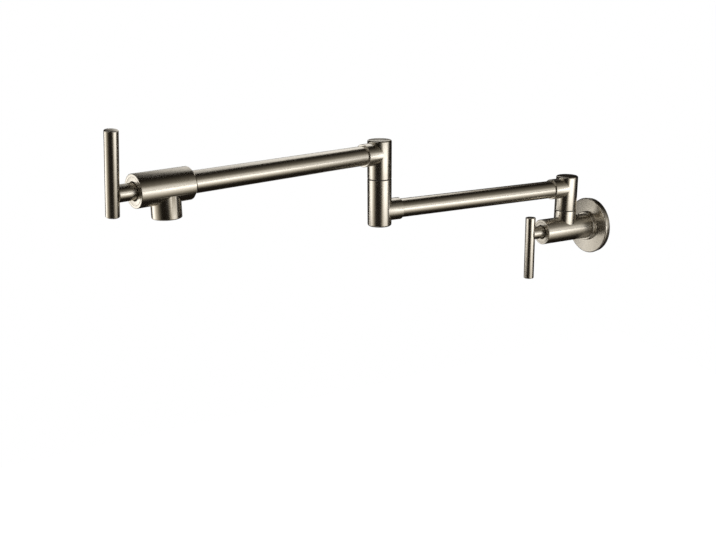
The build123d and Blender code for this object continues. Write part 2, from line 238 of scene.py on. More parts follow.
def lathe():
    tree = bpy.data.node_groups.new("lathe", "GeometryNodeTree")
    socketOf(tree, "Outline", "NodeSocketGeometry")
    socketOf(tree, "Segments", "NodeSocketInt", segments)
    socketOf(tree, "Rounding Steps", "NodeSocketInt", 6)
    socketOf(tree, "Closed", "NodeSocketInt", 1)
    socketOf(tree, "Girth", "NodeSocketFloat", 0.1)
    socketOf(tree, "Finish", "NodeSocketMaterial")
    tree.interface.new_socket("Solid", in_out="OUTPUT", socket_type="NodeSocketGeometry")
    given = addNode(tree, "NodeGroupInput").outputs
    chain = addNode(tree, "GeometryNodeMeshToCurve", {"Mesh": given["Outline"]})
    rounding = addNode(tree, "GeometryNodeInputNamedAttribute", {"Name": "rounding"}, data_type="FLOAT")
    outline = addNode(tree, "GeometryNodeFilletCurve", {
        "Curve": chain.outputs[0], "Radius": rounding.outputs["Attribute"],
        "Count": given["Rounding Steps"], "Limit Radius": False}, mode="POLY")
    size = addNode(tree, "GeometryNodeAttributeDomainSize", {"Geometry": outline.outputs[0]},
                   component="CURVE")
    points = size.outputs["Point Count"]
    columns = calc(tree, "ADD", points, given["Closed"])
    rows = calc(tree, "ADD", given["Segments"], 1.0)
    sheet = addNode(tree, "GeometryNodeMeshGrid", {
        "Vertices X": columns, "Vertices Y": rows})
    index = addNode(tree, "GeometryNodeInputIndex")
    column = calc(tree, "DIVIDE", index.outputs[0], rows)
    column = calc(tree, "FLOOR", column)
    row = calc(tree, "MODULO", index.outputs[0], rows)
    turn = calc(tree, "DIVIDE", row, given["Segments"])
    angle = calc(tree, "MULTIPLY", turn, math.tau)
    wrapped = calc(tree, "MODULO", column, points)
    spot = addNode(tree, "GeometryNodeSampleIndex", {
        "Geometry": outline.outputs[0], "Value": addNode(tree, "GeometryNodeInputPosition").outputs[0],
        "Index": wrapped}, data_type="FLOAT_VECTOR", domain="POINT")
    turned = addNode(tree, "ShaderNodeVectorRotate", {
        "Vector": spot.outputs[0], "Angle": angle}, rotation_type="Z_AXIS")
    travel = addNode(tree, "GeometryNodeSampleIndex", {
        "Geometry": outline.outputs[0],
        "Value": addNode(tree, "GeometryNodeSplineParameter").outputs["Length"],
        "Index": wrapped}, data_type="FLOAT", domain="POINT")
    last = addNode(tree, "FunctionNodeCompare", {"A": column, "B": points},
                   data_type="FLOAT", operation="GREATER_EQUAL")
    whole = addNode(tree, "GeometryNodeCurveLength", {"Curve": outline.outputs[0]})
    along = addNode(tree, "GeometryNodeSwitch", {
        "Switch": last.outputs[0], "False": travel.outputs[0], "True": whole.outputs[0]},
        input_type="FLOAT")
    around = calc(tree, "MULTIPLY", turn, given["Girth"])
    grain = addNode(tree, "ShaderNodeCombineXYZ", {"X": along.outputs[0], "Y": around})
    onPoint = addNode(tree, "GeometryNodeFieldOnDomain", {"Value": grain.outputs[0]},
                      data_type="FLOAT_VECTOR", domain="POINT")
    mapped = addNode(tree, "GeometryNodeStoreNamedAttribute", {
        "Geometry": sheet.outputs["Mesh"], "Name": "UVMap", "Value": onPoint.outputs[0]},
        data_type="FLOAT2", domain="CORNER")
    shaped = addNode(tree, "GeometryNodeSetPosition", {
        "Geometry": mapped.outputs[0], "Position": turned.outputs[0]})
    closed = addNode(tree, "GeometryNodeMergeByDistance", {
        "Geometry": shaped.outputs[0], "Distance": weld * mm})
    return endTree(tree, closed.outputs[0], given, "Solid")


latheTree = lathe()


def bake(piece, tree, inputs):    # runs a tree on a piece and keeps the plain mesh
    modifier = piece.modifiers.new(tree.name, "NODES")
    modifier.node_group = tree
    for item in tree.interface.items_tree:
        if item.item_type == "SOCKET" and item.in_out == "INPUT" and item.name in inputs:
            modifier[item.identifier] = inputs[item.name]
    settle(piece)


def settle(piece):    # the evaluated mesh takes the modifiers' place
    seen = piece.evaluated_get(bpy.context.evaluated_depsgraph_get())
    mesh = bpy.data.meshes.new_from_object(seen)
    piece.modifiers.clear()
    piece.data = mesh


def newPiece(name, mesh):
    piece = bpy.data.objects.new(name, mesh)
    bpy.context.scene.collection.objects.link(piece)
    return piece


def faceOut(piece):
    work = bmesh.new()
    work.from_mesh(piece.data)
    bmesh.ops.recalc_face_normals(work, faces=work.faces)
    work.to_mesh(piece.data)
    work.free()


def turned(name, outline, material=None, spin=segments):    # outline: (radius, height, rounding) in mm
    closed = outline[0][0] > 0
    mesh = bpy.data.meshes.new(name)
    count = len(outline)
    edges = [(i, i + 1) for i in range(count - 1)] + [(count - 1, 0)] * closed
    mesh.from_pydata([(r * mm, 0, z * mm) for r, z, _ in outline], edges, [])
    rounding = mesh.attributes.new("rounding", "FLOAT", "POINT")
    for spot, (_, _, r) in zip(rounding.data, outline):
        spot.value = r * mm
    piece = newPiece(name, mesh)
    bake(piece, latheTree, {"Segments": spin, "Closed": int(closed), "Finish": material or nickel,
                            "Girth": math.tau * max(r for r, _, _ in outline) * mm})
    faceOut(piece)
    return piece


def rod(radius, low, high, lowEdge=0.0, highEdge=0.0):
    return [(0, low, 0), (radius, low, lowEdge), (radius, high, highEdge), (0, high, 0)]


def tube(radius, bore, low, high, edge=0.0):
    return [(bore, low, 0), (radius, low, edge), (radius, high, edge), (bore, high, 0)]


def block(name, length, width, height, material):    # about its own middle
    mesh = bpy.data.meshes.new(name)
    work = bmesh.new()
    bmesh.ops.create_cube(work, size=mm, matrix=Matrix.Diagonal((length, width, height, 1)))
    work.to_mesh(mesh)
    work.free()
    mesh.materials.append(material)
    return newPiece(name, mesh)


def combine(piece, other, operation):    # UNION or DIFFERENCE, and the other piece is used up
    modifier = piece.modifiers.new(operation, "BOOLEAN")
    modifier.operation = operation
    modifier.solver = "EXACT"
    modifier.object = other
    settle(piece)
    bpy.data.objects.remove(other)


def drill(piece, root, direction, radius, low, high):    # a screw hole through a wall
    hole = turned("hole", rod(radius, low - overcut, high + overcut), spin=48)
    combine(piece, put(hole, place(root, direction, direction.orthogonal())), "DIFFERENCE")


def put(piece, matrix):
    piece.data.transform(matrix)
    piece.data.update()
    return piece


def polish(piece, sharp=28.0):    # smooth surfaces with crisp corners
    piece.data.shade_smooth()
    piece.data.set_sharp_from_angle(angle=math.radians(sharp))


def fit(piece, body, slot, *nodes):
    polish(piece)
    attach(piece, body)
    if nodes:
        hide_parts(*nodes)


# wall flange

flangeSizes = {
    "radius": 31.75, "backRadius": 30.7, "thickness": 6.6, "edge": 1.3,
    "bore": 14.0, "hubRadius": 16.2, "hubFront": 10.8, "hubEdge": 0.8,
    "wall": 2.0, "gasketInner": 27.6, "gasketOuter": 30.0, "gasketThickness": 1.2,
    "corner": 0.5,           # cove between hub and plate
    "boreEdge": 0.2, "cavityEdge": 0.6, "backEdge": 0.2, "screwRadius": 1.5,
}


def makeFlange():
    s = flangeSizes
    cavity = s["thickness"] - s["wall"]
    outline = [
        (s["bore"], s["hubFront"], s["boreEdge"]), (s["bore"], 0, 0), (s["bore"] + s["wall"], 0, 0),
        (s["bore"] + s["wall"], cavity, s["cavityEdge"]), (s["gasketInner"], cavity, s["cavityEdge"]),
        (s["gasketInner"], s["gasketThickness"], 0), (s["gasketOuter"], s["gasketThickness"], 0),
        (s["gasketOuter"], 0, 0), (s["backRadius"], 0, s["backEdge"]),
        (s["radius"], s["thickness"], s["edge"]), (s["hubRadius"], s["thickness"], s["corner"]),
        (s["hubRadius"], s["hubFront"], s["hubEdge"])]
    piece = turned("flangePlate", outline)
    put(piece, place(Vector((0, 0, 0)), wallOut, up))
    root = wallOut * (s["thickness"] + s["hubFront"]) / 2 * mm
    drill(piece, root, -up, s["screwRadius"], s["bore"], s["hubRadius"])
    fit(piece, "wall_valve", "brushed_nickel", "wall_flange")


makeFlange()
print("flange ready")


# valve bodies: local Z = 0 at the front face

bodySizes = {
    "radius": 13.9, "frontEdge": 0.5, "glandRadius": 11.4, "glandDepth": 7.0, "glandEdge": 0.15,
    "chamber": 10.0, "chamberDepth": 40.0, "chamberPlay": 0.02, "passage": 6.0,
    "wallLength": 72.0, "wallEdge": 0.3, "threadRadius": 10.3, "threadDepth": 14.0, "threadChamfer": 0.6,
    "stubRadius": 12.0, "stubBore": 7.5, "stubEdge": 0.25, "seamGap": 0.8,
    "spoutFront": 28.0, "spoutBack": 23.2, "backChamfer": 2.0, "backEdge": 0.15,
    "socket": 8.0, "socketEdge": 0.2, "tubeRadius": 9.5,
    "outletRadius": 12.4, "outletDrop": 25.6, "outletEdge": 1.0, "outletTop": 2.0,
    "outletThread": 11.0, "outletThreadDepth": 9.0, "outletPassage": 7.0,
}


def makeValveBody():
    s = bodySizes
    back = -s["wallLength"]
    outline = [
        (s["glandRadius"], 0, s["glandEdge"]), (s["glandRadius"], -s["glandDepth"], 0),
        (s["chamber"], -s["glandDepth"], 0), (s["chamber"], -s["chamberDepth"], 0),
        (s["passage"], -s["chamberDepth"], 0), (s["passage"], back + s["threadDepth"], 0),
        (s["threadRadius"], back + s["threadDepth"], 0),
        (s["threadRadius"], back + s["threadChamfer"], 0),
        (s["threadRadius"] + s["threadChamfer"], back, 0), (s["radius"], back, s["wallEdge"]),
        (s["radius"], 0, s["frontEdge"])]
    piece = turned("wallValveShell", outline)
    put(piece, place(wallFace, wallOut, up))
    top = wallJoint.z / mm - s["seamGap"] / 2
    stubPlace = place(Vector((wallJoint.x, wallJoint.y, 0)), up, wallOut)
    stub = turned("stub", rod(s["stubRadius"], 0, top, 0, s["stubEdge"]))
    combine(piece, put(stub, stubPlace), "UNION")
    bore = turned("bore", rod(s["stubBore"], s["chamber"] / 2, top + overcut), spin=64)
    combine(piece, put(bore, stubPlace), "DIFFERENCE")
    radius, depth = [s[k] - s["chamberPlay"] for k in ("chamber", "chamberDepth")]
    chamber = turned("chamber", rod(radius, -depth, -s["glandDepth"]), spin=64)
    combine(piece, put(chamber, place(wallFace, wallOut, up)), "DIFFERENCE")
    fit(piece, "wall_valve", "brushed_nickel", "valve_body")


def makeSpoutBody():
    s = bodySizes
    back = -(s["spoutFront"] + s["spoutBack"])
    outline = [
        (s["glandRadius"], 0, s["glandEdge"]), (s["glandRadius"], -s["glandDepth"], 0),
        (s["chamber"], -s["glandDepth"], 0), (s["chamber"], -s["chamberDepth"], 0),
        (s["passage"], -s["chamberDepth"], 0), (s["passage"], back + s["socket"], 0),
        (s["tubeRadius"], back + s["socket"], 0), (s["tubeRadius"], back, s["socketEdge"]),
        (s["radius"] - s["backChamfer"], back, s["backEdge"]),
        (s["radius"], back + s["backChamfer"], s["backEdge"]),
        (s["radius"], 0, s["frontEdge"])]
    piece = turned("spoutBodyShell", outline)
    put(piece, place(spoutFace, spoutOut, up))
    outletTop = spoutFace - spoutOut * s["spoutFront"] * mm
    down = place(outletTop, -up, spoutOut)
    drop = s["outletDrop"]
    outlet = turned("outlet", rod(s["outletRadius"], 0, drop, 0, s["outletEdge"]))
    combine(piece, put(outlet, down), "UNION")
    mouth = [(0, s["outletTop"], 0), (s["outletPassage"], s["outletTop"], 0),
             (s["outletPassage"], drop - s["outletThreadDepth"], 0),
             (s["outletThread"], drop - s["outletThreadDepth"], 0),
             (s["outletThread"], drop + overcut, 0), (0, drop + overcut, 0)]
    combine(piece, put(turned("mouth", mouth), down), "DIFFERENCE")
    fit(piece, "outer_arm", "brushed_nickel", "spout_body")


makeValveBody()
makeSpoutBody()
print("valve bodies ready")


# gland rings and T handles

handleSizes = {
    "glandRadius": 11.38, "glandBore": 7.8, "glandDepth": 7.0, "glandWeb": 1.6, "glandChamfer": 0.3,
    "glandEdge": 0.12, "webEdge": 0.4, "spindleBore": 4.8,
    "stemRadius": 7.0, "stemInset": 5.0, "stemReach": 14.8, "stemEdge": 0.35, "stemBackEdge": 0.2,
    "stemBore": 4.05, "stemBoreDepth": 9.4, "barRadius": 5.55, "barEdge": 0.8, "saddleGap": 0.02,
    "barEnd": 3.0,           # the stretch of a bar that counts as its end
    "screwRadius": 2.0, "screwHeight": 5.5,
}


def makeGland(name, face, out, body, node):
    s = handleSizes
    web = -s["glandDepth"] + s["glandWeb"]
    outline = [
        (s["glandBore"] + s["glandChamfer"], 0, 0), (s["glandBore"], -s["glandChamfer"], 0),
        (s["glandBore"], web, s["webEdge"]), (s["spindleBore"], web, 0),
        (s["spindleBore"], -s["glandDepth"], 0), (s["glandRadius"], -s["glandDepth"], 0),
        (s["glandRadius"], 0, s["glandEdge"])]
    piece = turned(name, outline)
    put(piece, place(face, out, up))
    fit(piece, body, "brushed_nickel", node)


def barLean(bar, out):    # angle of a bar off upright about its stem, from the middles of its two ends
    low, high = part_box(bar)
    points = [v.co for v in frame["nodes"][bar].data.vertices]
    ends = [[p for p in points if abs(p.z - z) < handleSizes["barEnd"] * mm] for z in (high.z, low.z)]
    top, bottom = [sum(end, Vector()) / len(end) for end in ends]
    return math.atan2((top - bottom).dot(up.cross(out)), (top - bottom).z)


def makeHandle(prefix, face, out, body):
    s = handleSizes
    hub, bar, screw = [prefix + part for part in ("_handle_hub", "_handle_bar", "_handle_grub_screw")]
    offset = (middle(bar) - face).dot(out) / mm
    centre = face + out * offset * mm
    lean = barLean(bar, out)
    along = up * math.cos(lean) + up.cross(out) * math.sin(lean)
    low, high = reach(bar, centre, along)
    piece = turned(prefix + "HandleBar", rod(s["barRadius"], low, high, s["barEdge"], s["barEdge"]))
    put(piece, place(centre, along, out))
    fit(piece, body, "brushed_nickel", bar)
    end = min(s["stemReach"], offset)
    outline = [
        (0, s["stemBoreDepth"], 0), (s["stemBore"], s["stemBoreDepth"], 0),
        (s["stemBore"], -s["stemInset"], 0), (s["stemRadius"], -s["stemInset"], s["stemBackEdge"]),
        (s["stemRadius"], end, s["stemEdge"]), (0, end, 0)]
    piece = turned(prefix + "HandleStem", outline)
    put(piece, place(face, out, up))
    saddle = turned("saddle", rod(s["barRadius"] + s["saddleGap"], low, high))
    combine(piece, put(saddle, place(centre, along, out)), "DIFFERENCE")
    side = middle(screw) - face
    side = (side - out * side.dot(out)).normalized()
    root = face + out * s["screwHeight"] * mm
    drill(piece, root, side, s["screwRadius"], s["stemBore"] + overcut, s["stemRadius"])
    fit(piece, body, "brushed_nickel", hub)


makeGland("wallGland", wallFace, wallOut, "wall_valve", "wall_gland_ring")
makeGland("spoutGland", spoutFace, spoutOut, "outer_arm", "spout_gland_ring")
makeHandle("wall", wallFace, wallOut, "wall_handle")
makeHandle("spout", spoutFace, spoutOut, "spout_handle")
print("handles ready")


# swivel joints and arms: local Z = 0 at the seam's middle

jointSizes = {
    "radius": 12.0, "edge": 1.8, "seamEdge": 0.25, "seamGap": 0.8, "branchRadius": 11.1,
    "branchReach": 22.4, "branchEdge": 0.5, "socket": 10.0, "tubeRadius": 9.5, "tubeBore": 8.0,
    "above": 13.4, "below": 24.9, "endBelow": 15.1, "bore": 8.05, "boreRise": 17.0,
    "pivotBore": 7.5, "pivotDepth": 11.0,
    "screwRadius": 2.0, "screwHeight": 13.0,
}


def makeElbow(name, joint, heading, body, node):
    s = jointSizes
    low, axis = s["seamGap"] / 2, s["below"]
    top = axis + s["above"]
    outline = [(0, low + s["boreRise"], 0), (s["bore"], low + s["boreRise"], 0), (s["bore"], low, 0),
               (s["radius"], low, s["seamEdge"]), (s["radius"], top, s["edge"]), (0, top, 0)]
    piece = turned(name, outline)
    put(piece, place(joint, up, heading))
    makeBranch(piece, joint + up * axis * mm, heading)
    drill(piece, joint + up * s["screwHeight"] * mm, -heading, s["screwRadius"], s["bore"], s["radius"])
    fit(piece, body, "brushed_nickel", node)


def makeBranch(piece, root, heading):
    s = jointSizes
    branch = turned("branch", rod(s["branchRadius"], 0, s["branchReach"], 0, s["branchEdge"]))
    combine(piece, put(branch, place(root, heading, up)), "UNION")
    deep, mouth = s["branchReach"] - s["socket"], s["branchReach"] + overcut
    socket = turned("socket", rod(s["tubeRadius"], deep, mouth), spin=96)
    combine(piece, put(socket, place(root, heading, up)), "DIFFERENCE")


def makeEndHousing():
    s = jointSizes
    root = Vector((elbowJoint.x, elbowJoint.y, innerHeight))
    top = (elbowJoint.z - innerHeight) / mm - s["seamGap"] / 2
    outline = [(0, -s["endBelow"], 0), (s["radius"], -s["endBelow"], s["edge"]),
               (s["radius"], top, s["seamEdge"]), (s["pivotBore"], top, 0),
               (s["pivotBore"], top - s["pivotDepth"], 0), (0, top - s["pivotDepth"], 0)]
    piece = turned("innerArmEnd", outline)
    put(piece, place(root, up, wallOut))
    makeBranch(piece, root, -innerHeading)
    fit(piece, "inner_arm", "brushed_nickel", "inner_arm_end_housing")


def makeArm(name, node, joint, heading, height, body):
    s = jointSizes
    origin = Vector((joint.x, joint.y, height))
    low, high = reach(node, origin, heading)
    piece = turned(name, tube(s["tubeRadius"], s["tubeBore"], low, high))
    put(piece, place(origin, heading, up))
    fit(piece, body, "brushed_nickel", node)


innerHeading = Vector((elbowJoint.x - wallJoint.x, elbowJoint.y - wallJoint.y, 0)).normalized()
makeElbow("innerArmElbow", wallJoint, innerHeading, "inner_arm", "inner_arm_elbow")
makeElbow("outerArmElbow", elbowJoint, spoutOut, "outer_arm", "outer_arm_elbow")
makeEndHousing()
makeArm("innerArm", "inner_arm_tube", wallJoint, innerHeading, innerHeight, "inner_arm")
makeArm("outerArm", "outer_arm_tube", elbowJoint, spoutOut, outerHeight, "outer_arm")
print("joints and arms ready")


# screws, inlet thread and the outlet's wire screen, each from its own tree

def screwTree():
    tree, given = newTree("socketScrew", "Screw", {
        "Radius": 0.002, "Length": 0.003, "Across": 0.002, "Socket Depth": 0.0016})
    shank = addNode(tree, "GeometryNodeMeshCylinder", {
        "Vertices": 48, "Radius": given["Radius"], "Depth": given["Length"]})
    half = calc(tree, "MULTIPLY", given["Length"], -0.5)
    down = addNode(tree, "ShaderNodeCombineXYZ", {"Z": half})
    shank = addNode(tree, "GeometryNodeTransform", {
        "Geometry": shank.outputs["Mesh"], "Translation": down.outputs[0]})
    corner = calc(tree, "DIVIDE", given["Across"], math.sqrt(3))
    deep = calc(tree, "MULTIPLY", given["Socket Depth"], 2.0)
    key = addNode(tree, "GeometryNodeMeshCylinder", {
        "Vertices": 6, "Radius": corner, "Depth": deep})
    cut = addNode(tree, "GeometryNodeMeshBoolean", {
        "Mesh 1": shank.outputs[0], "Mesh 2": key.outputs["Mesh"]}, operation="DIFFERENCE", solver="EXACT")
    return endTree(tree, cut.outputs["Mesh"], given, "Screw")


def threadTree():
    tree, given = newTree("thread", "Thread", {
        "Radius": 0.0103, "Pitch": 0.0018, "Length": 0.014, "Depth": 0.001})
    turns = calc(tree, "DIVIDE", given["Length"], given["Pitch"])
    helix = addNode(tree, "GeometryNodeCurveSpiral", {
        "Resolution": 64, "Rotations": turns, "Start Radius": given["Radius"],
        "End Radius": given["Radius"], "Height": given["Length"]})
    ridge = addNode(tree, "GeometryNodeCurvePrimitiveCircle", {
        "Resolution": 3, "Radius": given["Depth"]}, mode="RADIUS")
    swept = addNode(tree, "GeometryNodeCurveToMesh", {
        "Curve": helix.outputs["Curve"], "Profile Curve": ridge.outputs["Curve"], "Fill Caps": True})
    return endTree(tree, swept.outputs[0], given, "Thread")


def screenTree():
    tree, given = newTree("wovenScreen", "Screen", {"Radius": 0.0096, "Spacing": 0.0008, "Wire": 0.00016})
    span = calc(tree, "DIVIDE", given["Radius"], given["Spacing"])
    span = calc(tree, "FLOOR", span)
    count = calc(tree, "MULTIPLY_ADD", span, 2.0, 1.0)
    index = addNode(tree, "GeometryNodeInputIndex")
    step = calc(tree, "SUBTRACT", index.outputs[0], span)
    across = calc(tree, "MULTIPLY", step, given["Spacing"])
    spots = addNode(tree, "ShaderNodeCombineXYZ", {"X": across})
    row = addNode(tree, "GeometryNodePoints", {"Count": count, "Position": spots.outputs[0]})
    ratio = calc(tree, "DIVIDE", across, given["Radius"])
    square = calc(tree, "MULTIPLY", ratio, ratio)
    left = calc(tree, "SUBTRACT", 1.0, square)
    chord = calc(tree, "SQRT", left)
    stretch = addNode(tree, "ShaderNodeCombineXYZ", {"X": 1.0, "Y": chord, "Z": 1.0})
    far = addNode(tree, "ShaderNodeCombineXYZ", {"Y": given["Radius"]})
    near = addNode(tree, "ShaderNodeVectorMath", {0: far.outputs[0], "Scale": -1.0}, operation="SCALE")
    wire = addNode(tree, "GeometryNodeCurvePrimitiveLine", {
        "Start": near.outputs[0], "End": far.outputs[0]})
    wires = addNode(tree, "GeometryNodeInstanceOnPoints", {
        "Points": row.outputs[0], "Instance": wire.outputs[0], "Scale": stretch.outputs[0]})
    loose = addNode(tree, "GeometryNodeRealizeInstances", {"Geometry": wires.outputs[0]})
    pieces = calc(tree, "MULTIPLY", given["Spacing"], 0.5)
    fine = addNode(tree, "GeometryNodeResampleCurve", {
        "Curve": loose.outputs[0], "Length": pieces}, mode="LENGTH")
    spot = addNode(tree, "ShaderNodeSeparateXYZ", {
        "Vector": addNode(tree, "GeometryNodeInputPosition").outputs[0]})
    both = calc(tree, "ADD", spot.outputs["X"], spot.outputs["Y"])
    phase = calc(tree, "DIVIDE", both, given["Spacing"])
    phase = calc(tree, "MULTIPLY", phase, math.pi)
    wave = calc(tree, "COSINE", phase)
    rise = calc(tree, "MULTIPLY", wave, given["Wire"])
    lift = addNode(tree, "ShaderNodeCombineXYZ", {"Z": rise})
    warp = addNode(tree, "GeometryNodeSetPosition", {
        "Geometry": fine.outputs[0], "Offset": lift.outputs[0]})
    drop = addNode(tree, "ShaderNodeVectorMath", {0: lift.outputs[0], "Scale": -1.0}, operation="SCALE")
    weft = addNode(tree, "GeometryNodeSetPosition", {
        "Geometry": fine.outputs[0], "Offset": drop.outputs[0]})
    weft = addNode(tree, "GeometryNodeTransform", {
        "Geometry": weft.outputs[0], "Rotation": (0, 0, math.pi / 2), "Scale": (1, 1, 1)})
    cloth = addNode(tree, "GeometryNodeJoinGeometry")
    tree.links.new(warp.outputs[0], cloth.inputs[0])
    tree.links.new(weft.outputs[0], cloth.inputs[0])
    roundWire = addNode(tree, "GeometryNodeCurvePrimitiveCircle", {
        "Resolution": 5, "Radius": given["Wire"]}, mode="RADIUS")
    solid = addNode(tree, "GeometryNodeCurveToMesh", {
        "Curve": cloth.outputs[0], "Profile Curve": roundWire.outputs["Curve"], "Fill Caps": True})
    return endTree(tree, solid.outputs[0], given, "Screen")


def grown(name, tree, inputs, matrix):
    piece = newPiece(name, bpy.data.meshes.new(name))
    bake(piece, tree, inputs)
    faceOut(piece)
    return put(piece, matrix)


screwSizes = {
    "across": 2.0, "socketDepth": 1.6,
    "radius": {"flange_set_screw": 1.5}, "usualRadius": 2.0, "play": 0.03,
}


def makeScrews():
    s = screwSizes
    tree = screwTree()
    seats = [
        ("flangeScrew", "flange_set_screw", "wall_valve", Vector((0, 0, 0)), wallOut),
        ("wallHandleScrew", "wall_handle_grub_screw", "wall_handle", wallFace, wallOut),
        ("spoutHandleScrew", "spout_handle_grub_screw", "spout_handle", spoutFace, spoutOut),
        ("wallSwivelScrew", "wall_swivel_retaining_screw", "inner_arm", wallJoint, up),
        ("elbowSwivelScrew", "elbow_swivel_retaining_screw", "outer_arm", elbowJoint, up)]
    for name, node, body, origin, axis in seats:
        offset = middle(node) - origin
        level = axis * offset.dot(axis)
        out = (offset - level).normalized()
        low, high = reach(node, origin + level, out)
        radius = s["radius"].get(node, s["usualRadius"]) - s["play"]
        piece = grown(name, tree, {
            "Radius": radius * mm, "Length": (high - low) * mm, "Across": s["across"] * mm,
            "Socket Depth": s["socketDepth"] * mm, "Finish": steel},
            place(origin + level + out * high * mm, out, axis))
        fit(piece, body, "stainless_steel", node)


threadSizes = {"radius": 10.25, "pitch": 1.814, "length": 11.0, "start": 1.2, "depth": 0.95}


def makeInletThread():
    s = threadSizes
    piece = grown("inletThread", threadTree(), {
        "Radius": s["radius"] * mm, "Pitch": s["pitch"] * mm, "Length": s["length"] * mm,
        "Depth": s["depth"] * mm, "Finish": brass}, place(wallOut * s["start"] * mm, wallOut, up))
    fit(piece, "wall_valve", "brass")


outletSizes = {
    "rim": 1.4, "radius": 10.95, "recess": 1.6, "height": 5.4, "outerEdge": 0.2, "innerEdge": 0.25,
    "screenDepth": 0.6, "spacing": 0.8, "wire": 0.15,
    "slots": 8, "slotRadius": 6.0, "slotLength": 5.0, "slotWidth": 1.6,
}


def makeAerator():
    s = outletSizes
    mouth = middle("aerator_insert")
    high = reach("aerator_insert", mouth, -up)[1]
    bore = s["radius"] - s["rim"]
    outline = [
        (0, high - s["height"], 0), (s["radius"], high - s["height"], 0),
        (s["radius"], high, s["outerEdge"]), (bore, high, s["innerEdge"]),
        (bore, high - s["recess"], 0), (0, high - s["recess"], 0)]
    piece = turned("aeratorInsert", outline, plastic)
    put(piece, place(mouth, -up, spoutOut))
    root = mouth - up * (high - s["height"] / 2) * mm
    for i in range(s["slots"]):
        out = Matrix.Rotation(math.tau * i / s["slots"], 3, "Z") @ spoutOut
        slot = block("slot", s["slotLength"], s["slotWidth"], s["height"] + 2 * overcut, plastic)
        combine(piece, put(slot, place(root + out * s["slotRadius"] * mm, -up, out)), "DIFFERENCE")
    fit(piece, "outer_arm", "slip_plastic", "aerator_insert")
    screen = grown("aeratorScreen", screenTree(), {
        "Radius": bore * mm, "Spacing": s["spacing"] * mm, "Wire": s["wire"] * mm, "Finish": steel},
        place(mouth - up * (high - s["screenDepth"]) * mm, -up, spoutOut))
    fit(screen, "outer_arm", "stainless_steel", "aerator_screen")


makeScrews()
makeInletThread()
makeAerator()
print("screws, thread and aerator ready")


# the CAD pieces inside keep their shapes and take their finishes

def dressInside():
    finishes = {"brushed_nickel": nickel, "brass": brass, "stainless_steel": steel,
                "ceramic": ceramic, "rubber": rubber, "slip_plastic": plastic}
    slots = [m["slot"] for m in frame["record"]["materials"]]
    for node in frame["nodes"].values():
        for holder in node.material_slots:
            slot = next((s for s in slots if holder.material and holder.material.name.startswith(s)), None)
            holder.material = finishes[slot or "brass"]


dressInside()
print("inner pieces dressed")


# camera

cameraSizes = {
    "aim": (-295.07, -150.0, -110.379), "distance": 1222.822,
    "azimuth": 62.688, "elevation": 16.644, "roll": -0.408, "lens": 43.93, "sensor": 36.0,
    "near": 0.01, "far": 50,     # metres
}


def facing(azimuth, tilt):    # outward and sideways directions of a thing turned to azimuth and tilt
    out = Vector((math.sin(azimuth) * math.cos(tilt), -math.cos(azimuth) * math.cos(tilt), math.sin(tilt)))
    return out, Vector((math.cos(azimuth), math.sin(azimuth), 0))


def makeCamera():
    s = cameraSizes
    azimuth, elevation, roll = [math.radians(s[k]) for k in ("azimuth", "elevation", "roll")]
    back, right = facing(azimuth, elevation)
    camera = bpy.data.objects.new("camera", bpy.data.cameras.new("camera"))
    camera.data.sensor_width = s["sensor"]
    camera.data.lens = s["lens"]
    camera.data.clip_start = s["near"]
    camera.data.clip_end = s["far"]
    turnAbout = Matrix.Rotation(roll, 4, "Z")
    camera.matrix_world = place(Vector(s["aim"]) * mm + back * s["distance"] * mm, back, right) @ turnAbout
    bpy.context.scene.collection.objects.link(camera)
    bpy.context.scene.camera = camera


makeCamera()


# studio: softboxes left, low and right of the camera, cards behind and beside the filler, and weaker
# sheets for the other sides, in a room hung with black cloth. Cloth and panels are seen only in
# reflections: they draw the long highlights on the metal. Their places, widths, heights and feathers,
# which are the soft edges, are metres.

leftStand = {"place": (-0.85, -1.4, -0.15), "azimuth": -145, "tilt": 40}
rightStand = {"place": (0.75, 0.25, 0.15), "azimuth": -65, "tilt": 35}

